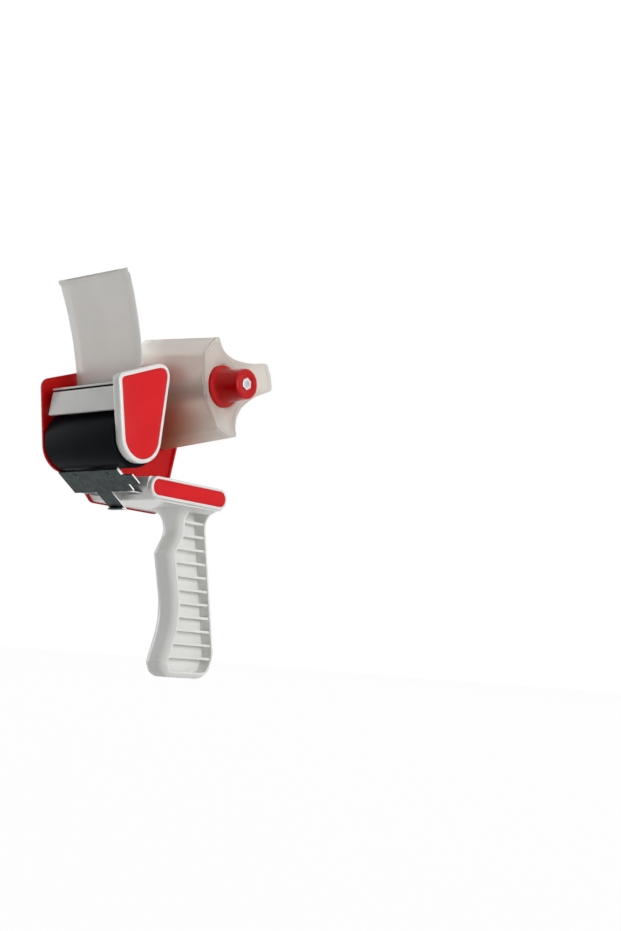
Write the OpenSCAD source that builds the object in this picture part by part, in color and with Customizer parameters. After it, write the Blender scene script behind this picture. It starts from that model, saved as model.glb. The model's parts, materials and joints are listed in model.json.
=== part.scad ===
/* [Tape] */
// Inside diameter of the card core that the tape roll is wound on
core_d = 76.2; // [70:0.1:80]
// Room between the core and the lobes of the hub, all round
core_play = 0.4; // [0.2:0.1:1]
// Width of the space between the plate and the free cheek
inner_w = 61; // [56:0.5:64]

/* [Side plate] */
// Thickness of the steel sheet
plate_t = 1.5; // [1.2:0.1:1.8]
// Height of the lip that is turned in round the rear of the plate
lip_h = 4; // [3.2:0.1:4.2]
// Depth that the large panel is pressed in
emboss = 0.9; // [0.6:0.1:1]
// Height of the bottom strip that carries the handle, from its screws down
strip_low = 7.4; // [6.5:0.1:9]
// Distance from the hub axis back to the rear corner of the plate
plate_rear = 23.4; // [20:0.1:26]
// Distance from the hub axis up to the rear corner of the plate
plate_top = 25.3; // [22:0.1:28]

/* [Hub] */
// Distance from the roller axis back to the hub axis
hub_back = 76.4; // [72:0.1:82]
// Distance from the roller axis up to the hub axis
hub_up = 46.2; // [43:0.1:50]
// Smallest radius of the hub at the plate, half-way between two lobes
hub_waist_r = 20; // [18:0.5:23]
// Radius of the lobes' tips at the hub's free end
hub_free_r = 32.5; // [29:0.5:34]
// Smallest radius of the hub at its free end, half-way between two lobes
free_waist_r = 17.5; // [17:0.1:19]
// Height that the lobes' tips rise over the edge of the knob's cup
hub_dish = 11; // [8:0.5:12]
// Width of the round end of a lobe
lobe_w = 18; // [14:0.5:22]
// Wall of the hub
hub_wall = 2.2; // [1.6:0.1:3]
// Length of the hub up to the edge of the knob's cup
hub_l = 49.7; // [46:0.1:52]
// Turn of the hub as it stands
hub_turn = 39; // [0:1:119]
// Radius of the steel spindle
spindle_r = 4; // [3.5:0.1:5]

/* [Brake knob] */
// Radius of the knob's foot
knob_foot_r = 13.3; // [12:0.1:15]
// Radius of the knob's grip
knob_r = 9.5; // [8.8:0.1:10.5]
// Length of the knob
knob_l = 22.3; // [18:0.1:24]

/* [Roller] */
// Radius of the rubber roller
roller_r = 17.5; // [16.5:0.1:18.5]
// Thickness of the rubber
rubber_t = 3; // [2:0.1:4]
// Radius of the roller's steel axle
axle_r = 4; // [3.5:0.1:5]

/* [Front frame] */
// Thickness of the free cheek
cheek_t = 5.8; // [5:0.1:7]
// Radius of the round lower end of the free cheek
cheek_r = 15.2; // [14:0.1:16]
// Distance from the roller axis forward to the face of the bar
bar_x = 18; // [17.6:0.1:19]
// Height of the bar's face
bar_h = 13.7; // [12:0.1:14]
// Width of the white border round a red inlay
inlay_border = 2.3; // [1.8:0.1:3]
// Thickness of a red inlay
inlay_t = 1; // [0.8:0.1:1.4]

/* [Flap] */
// Thickness of the plastic flap
flap_t = 0.8; // [0.6:0.1:1]
// Height of the flap above the roller axis
flap_top = 94.2; // [85:0.1:100]
// Distance that the flap's top edge leans forward of the roller axis
flap_lean = 20; // [14:0.1:24]

/* [Handle] */
// Height of the roller axis above the foot of the handle
axle_h = 134.2; // [128:0.1:140]
// Distance from the roller axis back to the middle of the handle's foot
foot_back = 78; // [76:0.1:80]
// Distance from the outer face of the plate to the middle of the grip
grip_y = 33.5; // [31:0.1:35]
// Width of the grip
grip_w = 18; // [16:0.1:20]
// Radius of the grip's rounded edges
grip_round = 8; // [6:0.1:9]
// Part of a quarter turn that the rounding takes, in degrees
round_arc = 50; // [40:1:55]
// Thickness of the straps that run round the grip's pockets
strap_t = 4; // [3:0.1:5]
// Thickness of the web between the pockets
web_t = 1.8; // [1.4:0.1:3]
// Number of ribs on each side of the grip
ribs = 11; // [9:1:12]
// Spacing of the ribs
rib_pitch = 8.2; // [7.8:0.1:8.4]
// Length of the handle's free cheek
saddle_l = 63.4; // [58:0.1:66]
// Height of the handle's free cheek
saddle_h = 12.8; // [12:0.1:13.4]
// Distance between the two handle screws
screw_gap = 32.7; // [28:0.1:36]

/* [Blade] */
// Thickness of the blade and of its bracket
sheet_t = 0.8; // [0.6:0.1:1]
// Slope of the blade bracket
blade_slope = 35; // [33:0.5:37]
// Length of the bracket down its slope
bracket_l = 17.5; // [15:0.1:18.5]
// Width of the blade
blade_w = 52; // [46:0.5:53]
// Width of one tooth of the blade
tooth_w = 2.5; // [2:0.05:3]
// Length of the teeth that stands out past the bracket
tooth_l = 0.8; // [0.6:0.1:2]

/* [Screws] */
// Radius of a screw's shank
shank_r = 2; // [1.6:0.1:2.2]
// Radius of a screw's head
head_r = 4.5; // [4:0.1:5]
// Height of a screw's head
head_h = 2.8; // [2.2:0.1:3.2]

/* [Hidden] */
$fn = 64;

// Clearances: running shafts, loose fits, and pieces of different bodies side by side
run_gap = 0.05;
fit_gap = 0.1;
side_gap = 0.3;
// Overlap that joins two shapes of one solid
join = 0.5;

// Colours
red_paint = [0.72, 0.05, 0.05];
red_plastic = [0.85, 0.15, 0.16];
white_plastic = [0.88, 0.88, 0.86];
clear_plastic = [0.85, 0.84, 0.8, 0.75];
milky_plastic = [0.87, 0.85, 0.8];
rubber_black = [0.07, 0.08, 0.09];
dark_steel = [0.25, 0.3, 0.29];
bright_steel = [0.75, 0.76, 0.78];
nylon = [0.8, 0.8, 0.76];

// Places along Y, counted from the outer face of the plate
cheek_y = plate_t + inner_w;
cheek_out = cheek_y + cheek_t;
hub_y0 = lip_h + 0.5;
hub_y1 = hub_y0 + hub_l;
hub_rim = 3;
hub_end_t = 2.5;
hub_face_y = hub_y1 - hub_rim;
knob_y0 = hub_face_y + side_gap;
knob_y1 = knob_y0 + knob_l;
roller_y0 = plate_t + emboss + 2 * side_gap;
roller_y1 = cheek_y - side_gap;
saddle_out = 25.5;
saddle_y = grip_y + saddle_out;
saddle_t = 4;

// Places in the plane of the plate, counted from the roller axis
hub_at = [-hub_back, hub_up];
guide_at = [-9.7, 37.6];
slot_at = [4.5, 25.9];
slot_l = 9.3;
slot_h = 3.6;
slot_tilt = 6;
handle_screw_z = -25.6;
handle_screw_x = -41.2;

// Corners of a bent outline are [x, z, radius], listed anticlockwise
function unit(v) = v / norm(v);
function plane(c) = [c[0], c[1]];
function arc_at(c, i, n) =
  let (
    k = len(c), p = plane(c[i]),
    u = unit(plane(c[(i + k - 1) % k]) - p), v = unit(plane(c[(i + 1) % k]) - p),
    half = acos(max(-1, min(1, u * v))) / 2,
    mid = p + unit(u + v) * c[i][2] / sin(half),
    a = p + u * c[i][2] / tan(half) - mid, b = p + v * c[i][2] / tan(half) - mid,
    a0 = atan2(a[1], a[0]), turn = (atan2(b[1], b[0]) - a0 + 540) % 360 - 180
  )
  [for (s = [0:n]) mid + c[i][2] * [cos(a0 + turn * s / n), sin(a0 + turn * s / n)]];
function rounded(c, n = 6) = [for (i = [0:len(c) - 1]) each arc_at(c, i, n)];
function inset(c, d) = [
  for (i = [0:len(c) - 1])
    let (
      k = len(c), p = plane(c[i]),
      e = unit(p - plane(c[(i + k - 1) % k])), f = unit(plane(c[(i + 1) % k]) - p),
      m = [-e[1], e[0]], n = [-f[1], f[0]],
      q = p + d * (m + n) / (1 + m * n),
      convex = e[0] * f[1] - e[1] * f[0] > 0
    )
    [q[0], q[1], convex ? max(c[i][2] - d, 0.3) : max(c[i][2] + d, 0.3)]
];

// Corner where a line from p, tangent to a circle about the roller axis, meets its lowest level
function nose_corner(p, r, drop, side) =
  let (
    q = [p[0], p[1] + drop],
    a = atan2(q[1], q[0]) - side * acos(r / norm(q)),
    foot = r * [cos(a), sin(a)], along = unit(foot - q),
    s = (-r - q[1]) / along[1]
  )
  [q[0] + s * along[0], -r - drop, r];

// Outline of the side plate
nose_r = roller_r - 0.8;
nose_drop = 1.8;
nose_top = [22.8, 33.8, 5.8];
strip_z = handle_screw_z - strip_low;
notch_x = -9.4;
nose_z = -nose_r - nose_drop;
plate_outline = [
  [-hub_back - plate_rear, hub_up + plate_top, 14],
  [-80.5, strip_z, 6],
  [notch_x + strip_z - nose_z, strip_z, 5],
  [notch_x, nose_z, 3],
  nose_corner(nose_top, nose_r, nose_drop, 1),
  nose_top,
  [-31.6, 53.9, 40]
];

// Outline of the pressed-in panel, which runs out past the rear and top edges
panel_floor = handle_screw_z + 8.5;
panel_nose = 11.8;
panel_over = 60;
panel_outline = [
  [-hub_back - panel_over, hub_up + panel_over, 1],
  [-hub_back - panel_over, panel_floor, 1],
  [-23.5, panel_floor, 6],
  [-14, -panel_nose, 4],
  [6, -panel_nose, 6],
  [13, 3.6, 6],
  [-28.5, 46.8, 10],
  [-31, hub_up + panel_over, 1]
];
drop_big = [-52.1, 19.7, 19.2];
drop_small = [-20.5, 7, 4.8];

// Outline of the free cheek
cheek_front = [22, 32, 5];
cheek_rear = [-18.2, 48.3, 8];
cheek_outline = [
  cheek_rear,
  nose_corner(cheek_rear, cheek_r, 0, -1),
  nose_corner(cheek_front, cheek_r, 0, 1),
  cheek_front
];

// Outline of the handle's grip, seen from the side
beam_low = strip_z + plate_t + side_gap;
beam_top = beam_low + saddle_h;
foot_z = -axle_h;
// Heights of the heel, the toe and the palm hollow above the foot
heel_h = 13.7;
toe_h = 8.2;
palm_h = 37.2;
// Drops of the finger bump and the neck below the beam, and the grip's end inside the beam
bump_drop = 28.3;
neck_drop = 15.3;
grip_in = 4;
grip_outline = [
  [-82.2, beam_low + grip_in, 3],
  [-101.6, foot_z + heel_h, 14],
  [-96.2, foot_z, 9],
  [-60.2, foot_z, 6],
  [-56.4, foot_z + toe_h, 5],
  [-64.6, foot_z + palm_h, 44],
  [-54.8, beam_low - bump_drop, 4],
  [-61.4, beam_low - neck_drop, 10],
  [-57.4, beam_low + grip_in, 3]
];
saddle_x = -50.9;

// Outline of the beam between the plate and the handle's free cheek
beam_front = -11.4;
beam_sink = 0.4;
beam_base = strip_z + 0.8;
beam_nose = 6.6;
beam_outline = [
  [-82.6, beam_top - beam_sink, 4],
  [-82.6, beam_base, 4],
  [beam_front - (beam_top - beam_base), beam_base, 3.5],
  [beam_front - (beam_top - beam_base) + beam_nose, beam_base + beam_nose, 2.5],
  [beam_front - (beam_top - beam_base) + beam_nose - 1, beam_top - beam_sink, 2]
];

// Blade line: the teeth end just under the roller
tooth_clear = 1.2;
tooth_tip = [4.9, -roller_r - tooth_clear];
slope_dir = [-cos(blade_slope), -sin(blade_slope)];
slope_out = [sin(blade_slope), -cos(blade_slope)];
bracket_mid = 28.2;
bracket_edge = tooth_tip + slope_dir * tooth_l;
bracket_foot = bracket_edge + slope_dir * bracket_l;
leg_w = 13;
leg_l = 15.5;
hook_l = 3;
ear_w = 9;
ear_l = 7.5;
ear_s = 4.6;
tongue_w = 12;
tongue_in = 3;
tongue_gap = 30;

// Frame: the roller axis and the plate's outer face are set from the foot of the handle
module placed() translate([foot_back, -grip_y, axle_h]) children();
module prism(points, y0, y1)
  translate([0, y1, 0]) rotate([90, 0, 0]) linear_extrude(y1 - y0) polygon(points);
module post(at, r, y0, y1) translate([at[0], y1, at[1]]) rotate([90, 0, 0]) cylinder(r = r, h = y1 - y0);
module block(x0, x1, y0, y1, z0, z1) translate([x0, y0, z0]) cube([x1 - x0, y1 - y0, z1 - z0]);
module turned(at, y0) translate([at[0], y0, at[1]]) rotate([-90, 0, 0]) rotate_extrude() children();
// Straight sheet in the blade's slope: s along the slope from the bracket's edge, n off its lower face
module slope_sheet(s0, s1, y0, y1, n0, n1)
  prism([
    bracket_edge + slope_dir * s0 + slope_out * n0, bracket_edge + slope_dir * s1 + slope_out * n0,
    bracket_edge + slope_dir * s1 + slope_out * n1, bracket_edge + slope_dir * s0 + slope_out * n1
  ], y0, y1);
// Round-ended bar about two circles in the plane of the plate
function belt_points(c1, c2, grow, n = 14) =
  let (
    a = plane(c1), b = plane(c2), r1 = c1[2] + grow, r2 = c2[2] + grow,
    along = atan2(b[1] - a[1], b[0] - a[0]), lean = acos((r1 - r2) / norm(b - a))
  )
  concat(
    [for (i = [0:n]) let (g = along + lean + (360 - 2 * lean) * i / n) a + r1 * [cos(g), sin(g)]],
    [for (i = [0:n]) let (g = along - lean + 2 * lean * i / n) b + r2 * [cos(g), sin(g)]]
  );
module belt(c1, c2, y0, y1, grow = 0) prism(belt_points(c1, c2, grow), y0, y1);
// Closed skin over rings of equal length
module skin(rings) {
  n = len(rings[0]);
  m = len(rings);
  polyhedron(
    points = [for (ring = rings) each ring],
    faces = concat(
      [[for (i = [0:n - 1]) i]],
      [for (j = [0:m - 2], i = [0:n - 1]) [j * n + i, (j + 1) * n + i, j * n + (i + 1) % n]],
      [for (j = [0:m - 2], i = [0:n - 1])
        [j * n + (i + 1) % n, (j + 1) * n + i, (j + 1) * n + (i + 1) % n]],
      [[for (i = [n - 1:-1:0]) (m - 1) * n + i]]
    ),
    convexity = 6
  );
}

// Pan-head screw with a cross recess: the head's seat is at y0 and the shank runs to y1
cross_w = 1.3;
cross_l = 5.2;
cross_deep = 1.6;
module pan_screw(at, y0, y1) {
  dome = (head_r * head_r + head_h * head_h) / (2 * head_h);
  difference() {
    union() {
      intersection() {
        translate([at[0], y0 - head_h + dome, at[1]]) sphere(r = dome);
        post(at, head_r, y0 - head_h, y0);
      }
      post(at, shank_r, y0 - join, y1);
    }
    for (turn = [0, 90])
      translate([at[0], y0 - head_h, at[1]]) rotate([0, turn + 20, 0])
        cube([cross_l, 2 * cross_deep, cross_w], center = true);
  }
}

raised = [[hub_at, 7.8], [[0, 0], 7.8]];
lip_front = -30;
module raised_parts(y0, y1, grow = 0) {
  belt(drop_big, drop_small, y0, y1, grow);
  for (r = raised) post(r[0], r[1] + grow, y0, y1);
}
module side_plate() placed() color(red_paint) difference() {
  union() {
    difference() {
      prism(rounded(plate_outline), 0, lip_h);
      prism(rounded(inset(plate_outline, plate_t)), plate_t, lip_h + join);
      block(lip_front, 60, plate_t, lip_h + join, -80, 120);
      block(-hub_back - panel_over, lip_front + join, plate_t, lip_h + join, -80, beam_top + side_gap);
    }
    difference() {
      intersection() {
        prism(rounded(inset(panel_outline, -join)), plate_t - side_gap, plate_t + emboss);
        prism(rounded(inset(plate_outline, plate_t / 2)), 0, lip_h);
      }
      raised_parts(0, lip_h, -join);
    }
  }
  difference() {
    prism(rounded(panel_outline), -join, emboss);
    raised_parts(-2 * join, lip_h);
  }
  for (at = [hub_at, guide_at, [0, 0], [handle_screw_x, handle_screw_z],
      [handle_screw_x - screw_gap, handle_screw_z]])
    post(at, shank_r + fit_gap, -join, lip_h);
  translate([slot_at[0], 0, slot_at[1]]) rotate([0, -slot_tilt, 0])
    cube([slot_l, 2 * lip_h, slot_h], center = true);
}

flare_r = 11;
pocket_top = beam_base - 1.5;
rib_drop = 6.75;
rib_t = 1.5;
rib_half = grip_w / 2 - 1;
// Pockets of one side: the straps keep their thickness where the grip flares out to the beam
module pocket(side) {
  web = grip_y + side * web_t / 2;
  half = grip_y + side * grip_w / 2;
  far = half + side * (flare_r + join);
  intersection() {
    union() {
      prism(rounded(inset(grip_outline, strap_t)), min(web, half), max(web, half));
      prism(rounded(inset(grip_outline, strap_t + 1)), min(half - side * join, far),
        max(half - side * join, far));
    }
    block(-120, -40, min(web, far), max(web, far), foot_z + strap_t, pocket_top);
  }
}
module grip_body() {
  half = grip_w / 2;
  steps = 5;
  edge = [for (s = [0:steps]) round_arc * s / steps];
  flat = half - grip_round * sin(round_arc);
  lows = [for (a = edge) [flat + grip_round * sin(a), grip_round * (1 - cos(a))]];
  spare = [half + 1, lows[steps][1]];
  ends = concat(lows, [spare]);
  rings = concat([for (i = [steps + 1:-1:0]) [-ends[i][0], ends[i][1]]], ends);
  difference() {
    skin([for (g = rings) [for (p = rounded(inset(grip_outline, g[1]))) [p[0], grip_y - g[0], p[1]]]]);
    block(-120, -40, grip_y + half, grip_y + grip_w, foot_z - 1, beam_top);
    block(-120, -40, grip_y - grip_w, grip_y - half, foot_z - 1, beam_top);
  }
}
module grip_flare(side, reach) {
  y0 = grip_y + side * (grip_w / 2 - 3);
  y1 = grip_y + side * (grip_w / 2 + reach);
  difference() {
    intersection() {
      prism(rounded(inset(grip_outline, grip_round * (1 - cos(round_arc)))), min(y0, y1), max(y0, y1));
      block(-120, -40, min(y0, y1), max(y0, y1), beam_base - reach, beam_base + 2 * join);
    }
    translate([-120, grip_y + side * (grip_w / 2 + reach + side_gap), beam_base - reach - side_gap])
      rotate([0, 90, 0]) cylinder(r = reach, h = 80);
  }
}
// Hollows in the top of the beam, and the depth of its screw holes
beam_pockets = 3;
hollow_x = -79.5;
hollow_l = 15.5;
hollow_pitch = 18.5;
hollow_y = 18;
hollow_wall = 3;
screw_deep = 14;
module handle() placed() color(white_plastic) difference() {
  union() {
    difference() {
      union() {
        grip_body();
        for (side = [-1, 1]) grip_flare(side, flare_r);
      }
      for (side = [-1, 1]) difference() {
        pocket(side);
        for (i = [0:ribs - 1])
          block(-120, -40, grip_y - rib_half, grip_y + rib_half, pocket_top - rib_drop - i * rib_pitch,
            pocket_top - rib_drop - i * rib_pitch + rib_t);
      }
    }
    prism(rounded(beam_outline), plate_t, saddle_y - saddle_t + join);
    belt(saddle_end(-1), saddle_end(1), saddle_y - saddle_t, saddle_y);
  }
  belt(saddle_end(-1), saddle_end(1), saddle_y - inlay_t, saddle_y + join, -inlay_border);
  for (i = [0, 1])
    post([handle_screw_x - i * screw_gap, handle_screw_z], shank_r + run_gap, 0, plate_t + screw_deep);
  for (i = [0:beam_pockets - 1])
    block(hollow_x + i * hollow_pitch, hollow_x + hollow_l + i * hollow_pitch, plate_t + hollow_y,
      saddle_y - saddle_t - hollow_wall, beam_low + hollow_wall, beam_top + join);
  for (side = [-1, 1])
    block(tongue_end - fit_gap, 0, tongue_y(side) - fit_gap, tongue_y(side) + tongue_w + fit_gap,
      tongue_z - fit_gap, tongue_z + sheet_t + fit_gap);
}
function saddle_end(side) =
  [saddle_x + side * (saddle_l - saddle_h) / 2, (beam_low + beam_top) / 2, saddle_h / 2];
module handle_inlay() placed() color(red_plastic)
  belt(saddle_end(-1), saddle_end(1), saddle_y - inlay_t, saddle_y, -inlay_border - fit_gap);

// The deck carries the groove that the flap stands in
bar_low = 12.9;
bar_t = 3;
shelf_x0 = slot_at[0] - slot_l / 2;
shelf_x1 = slot_at[0] + slot_l / 2;
deck_z = 28;
deck_t = 1.3;
groove_w = 3.2;
groove_h = 2.5;
groove_wall = 1.4;
root_x = -2.2;
flap_root_z = deck_z + deck_t + side_gap;
frame_y0 = lip_h + 0.5;
module front_frame() placed() color(white_plastic) difference() {
  union() {
    prism(rounded(cheek_outline, 10), cheek_y, cheek_out);
    difference() {
      block(bar_x - bar_t, bar_x, frame_y0, cheek_y + join, bar_low, bar_low + bar_h);
      translate([bar_x, frame_y0 + 2.2, bar_low + bar_h]) rotate([-9, 0, 0])
        translate([-2 * bar_t, -2 * bar_h, -2 * bar_h]) cube([4 * bar_t, 2 * bar_h, 4 * bar_h]);
    }
    block(shelf_x1 - 4, bar_x - bar_t + join, frame_y0, cheek_y + join, bar_low + 8.6, bar_low + 11.2);
    translate([slot_at[0], 0, slot_at[1]]) rotate([0, -slot_tilt, 0])
      translate([-slot_l / 2 + fit_gap, -side_gap, -slot_h / 2 + fit_gap])
        cube([slot_l - 2 * fit_gap, cheek_y + side_gap + join, slot_h - 2 * fit_gap]);
    block(shelf_x0 + 2, shelf_x1 - 2, frame_y0, cheek_y + join, slot_at[1], deck_z + join);
    block(root_x - groove_w / 2 - groove_wall, bar_x - 1.5, frame_y0, cheek_y + join, deck_z,
      deck_z + deck_t);
    for (side = [-1, 1])
      translate([root_x + side * (groove_w + groove_wall) / 2, 0, 0])
        block(-groove_wall / 2, groove_wall / 2, frame_y0, cheek_y + join, deck_z,
          deck_z + deck_t + groove_h);
  }
  prism(rounded(inset(cheek_outline, inlay_border), 10), cheek_out - inlay_t, cheek_out + join);
  for (at = [[0, 0], guide_at]) {
    post(at, axle_r + run_gap, cheek_y - join, cheek_y + post_in);
    post(at, shank_r + run_gap, cheek_y, cheek_out);
    post(at, head_r + fit_gap, cheek_out - inlay_t - flat_head_h, cheek_out);
  }
}
post_in = 1.8;
flat_head_h = 1.6;
module front_inlay() placed() color(red_plastic)
  prism(rounded(inset(cheek_outline, inlay_border + fit_gap), 10), cheek_out - inlay_t, cheek_out);

// The flap rises from its groove and curls forward
flap_y0 = frame_y0 + side_gap;
flap_y1 = cheek_y - 2 * side_gap;
flap_steps = 14;
function flap_curve(s) =
  [root_x + (flap_lean - root_x) * (0.38 * s + 0.62 * s * s), flap_root_z + (flap_top - flap_root_z) * s];
function flap_side(s) =
  let (d = unit(flap_curve(s + 0.01) - flap_curve(s - 0.01))) [-d[1], d[0]] * flap_t / 2;
module tape_flap() placed() color(clear_plastic)
  prism(concat(
    [for (i = [0:flap_steps]) flap_curve(i / flap_steps) - flap_side(i / flap_steps)],
    [for (i = [flap_steps:-1:0]) flap_curve(i / flap_steps) + flap_side(i / flap_steps)]
  ), flap_y0, flap_y1);

// Posts between the plate and the free cheek: each takes a screw at both ends
thread_in = 9;
module cross_post(at, y0) difference() {
  post(at, axle_r, y0, cheek_y + post_in);
  post(at, shank_r + run_gap, y0 - join, y0 + thread_in);
  post(at, shank_r + run_gap, cheek_y + post_in - thread_in, cheek_y + post_in + join);
}
module guide_post() placed() color(bright_steel) cross_post(guide_at, plate_t);
module roller_axle() placed() color(bright_steel) cross_post([0, 0], plate_t);
module guide_screw() placed() color(bright_steel) pan_screw(guide_at, 0, plate_t + thread_in - 1);
module roller_screw() placed() color(bright_steel) pan_screw([0, 0], 0, plate_t + thread_in - 1);
module cheek_screws() placed() color(bright_steel) for (at = [[0, 0], guide_at]) difference() {
  y1 = cheek_out - inlay_t - fit_gap;
  union() {
    post(at, head_r, y1 - flat_head_h + fit_gap, y1);
    post(at, shank_r, cheek_y + post_in - thread_in + 1, y1);
  }
  for (turn = [45, 135])
    translate([at[0], y1, at[1]]) rotate([0, turn, 0]) cube([cross_l, flat_head_h, cross_w], center = true);
}

core_r = roller_r - rubber_t;
bush_r = axle_r + 3;
bush_l = 10;
core_wall = 2.5;
module tube(at, ro, ri, y0, y1) difference() {
  post(at, ro, y0, y1);
  post(at, ri, y0 - join, y1 + join);
}
module roller_sleeve() placed() color(rubber_black) tube([0, 0], roller_r, core_r, roller_y0, roller_y1);
module roller_core() placed() color(white_plastic) {
  tube([0, 0], core_r, core_r - core_wall, roller_y0, roller_y1);
  for (y0 = [roller_y0, roller_y1 - bush_l]) {
    tube([0, 0], bush_r + core_wall, bush_r, y0, y0 + bush_l);
    tube([0, 0], core_r - core_wall + join, bush_r + core_wall - join, y0 + bush_l / 2 - core_wall / 2,
      y0 + bush_l / 2 + core_wall / 2);
  }
}
module roller_bushes() placed() color(nylon)
  for (y0 = [roller_y0, roller_y1 - bush_l]) tube([0, 0], bush_r, axle_r + run_gap, y0, y0 + bush_l);

// Three-lobed hub: round lobe ends joined by hollow flanks
hub_tip_r = core_d / 2 - core_play;
function hub_ring(tip, waist, half_w) =
  let (
    w = asin(half_w / tip),
    far = (tip * tip - waist * waist) / (2 * (tip * cos(60 - w) - waist)),
    rho = far - waist,
    swing = asin(tip * sin(60 - w) / rho)
  )
  [for (k = [0:2]) each concat(
    [for (i = [-4:4]) let (a = hub_turn + 120 * k + w * i / 4) tip * [cos(a), sin(a)]],
    [for (i = [-5:5]) let (a = hub_turn + 120 * k + 60, b = a + 180 - swing * i / 6)
      far * [cos(a), sin(a)] + rho * [cos(b), sin(b)]]
  )];
cup_r = knob_foot_r + 0.7;
sleeve_r = spindle_r + 3;
// Height of the dished free end at the distance r from the axis
function dish_y(r) = hub_y1 + hub_dish * (r - cup_r) / (hub_free_r - cup_r);
// Body of the hub from its dished end down to y0, drawn in by d and let down by drop
module hub_body(y0, d, drop) {
  free = hub_ring(hub_free_r - d, free_waist_r - d, lobe_w / 2 - d);
  low = hub_ring(hub_tip_r - d, hub_waist_r - d, lobe_w / 2 - d);
  cup = [for (p = free) unit(p) * (cup_r - join)];
  skin([
    [for (p = cup) [hub_at[0] + p[0], hub_y1 - drop, hub_at[1] + p[1]]],
    [for (p = free) [hub_at[0] + p[0], dish_y(norm(p)) - drop, hub_at[1] + p[1]]],
    [for (i = [0:len(low) - 1])
      let (
        fall = dish_y(norm(free[i])) - drop - hub_y0,
        p = low[i] + (low[i] - free[i]) * (hub_y0 - y0) / fall
      )
      [hub_at[0] + p[0], y0, hub_at[1] + p[1]]]
  ]);
}
module tape_hub() placed() color(milky_plastic) difference() {
  union() {
    difference() {
      hub_body(hub_y0 - hub_free_r / 2, 0, 0);
      hub_body(hub_y0 - hub_free_r, hub_wall, hub_end_t);
      post(hub_at, 2 * hub_tip_r, hub_y0 - 2 * hub_free_r, hub_y0);
    }
    post(hub_at, cup_r + 1.2, hub_face_y - hub_end_t, hub_y1);
    post(hub_at, sleeve_r, hub_y0, hub_face_y - join);
  }
  post(hub_at, cup_r, hub_face_y, hub_y1 + 2 * join);
  post(hub_at, spindle_r + run_gap, hub_y0 - join, hub_y1 + join);
}

spindle_head_r = 7;
thread_r = 2;
module hub_spindle() placed() color(bright_steel) difference() {
  union() {
    post(hub_at, spindle_head_r, plate_t, hub_y0 - 1.5);
    post(hub_at, spindle_r, plate_t, hub_face_y);
    post(hub_at, thread_r, hub_face_y - join, knob_y1 - 0.6);
  }
  post(hub_at, shank_r + run_gap, plate_t - join, plate_t + thread_in);
}
module hub_washer() placed() color(nylon)
  tube(hub_at, sleeve_r + 2.5, spindle_r + run_gap, hub_y0 - 1.5, hub_y0 - fit_gap);
module hub_screw() placed() color(bright_steel) pan_screw(hub_at, 0, plate_t + thread_in - 1);

// Brake: a washer and a spring inside the foot of the knob
brake_r = 8;
brake_t = 0.8;
module brake_washer() placed() color(bright_steel)
  tube(hub_at, brake_r, thread_r + run_gap, hub_face_y + fit_gap, hub_face_y + fit_gap + brake_t);
spring_r = 5.4;
wire_r = 0.6;
spring_turns = 4;
spring_y0 = hub_face_y + 2 * fit_gap + brake_t;
spring_y1 = spring_y0 + 7.6;
curl_steps = 8;
coil_points = [
  for (i = [0:spring_turns * curl_steps])
    let (a = 360 * i / curl_steps, s = i / (spring_turns * curl_steps))
    [hub_at[0] + spring_r * cos(a), spring_y0 + wire_r + s * (spring_y1 - spring_y0 - 2 * wire_r),
      hub_at[1] + spring_r * sin(a)]
];
echo(least_gap_of_the_spring = (spring_y1 - spring_y0 - 2 * wire_r) / spring_turns - 2 * wire_r);
module brake_spring() placed() color(bright_steel)
  skin([for (i = [0:len(coil_points) - 1])
    let (a = 360 * i / curl_steps, c = coil_points[i])
    [for (k = [0:5]) c + wire_r * [cos(60 * k) * cos(a), sin(60 * k), cos(60 * k) * sin(a)]]
  ]);

nut_r = 4.04;
nut_h = 3;
nut_deep = 0.8;
spring_room = spring_r + wire_r + side_gap;
knob_foot_h = 2.6;
knob_taper = 0.7;
knob_fillet = knob_foot_r - 0.8 - knob_r - knob_taper;
module brake_knob() placed() color(red_plastic) difference() {
  turned(hub_at, knob_y0) difference() {
    polygon(concat(
      [[0, 0], [knob_foot_r - 0.8, 0], [knob_foot_r, 0.8]],
      [[knob_foot_r, knob_foot_h - 0.8], [knob_foot_r - 0.8, knob_foot_h]],
      [for (i = [0:6]) let (a = 270 - 15 * i)
        [knob_foot_r - 0.8 + knob_fillet * cos(a), knob_foot_h + knob_fillet + knob_fillet * sin(a)]],
      [for (i = [0:4]) let (a = 22.5 * i) [knob_r - 1.2 + 1.2 * cos(a), knob_l - 1.2 + 1.2 * sin(a)]],
      [[nut_r + 1.6, knob_l], [nut_r + 1.1, knob_l - nut_deep], [0, knob_l - nut_deep]]
    ));
    square([thread_r + run_gap, knob_l]);
    square([brake_r + side_gap, brake_t + 2 * fit_gap]);
    square([spring_room, spring_y1 - knob_y0 + fit_gap]);
  }
  translate([hub_at[0], knob_y1 - nut_deep - nut_h + join, hub_at[1]]) rotate([-90, 0, 0])
    cylinder(r = nut_r + fit_gap, h = nut_h + 2, $fn = 6);
}
module brake_nut() placed() color(bright_steel) difference() {
  translate([hub_at[0], knob_y1 - nut_deep - nut_h + join + fit_gap, hub_at[1]]) rotate([-90, 0, 0])
    cylinder(r = nut_r, h = nut_h, $fn = 6);
  post(hub_at, thread_r + run_gap, knob_y0, knob_y1 + join);
}

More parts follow.
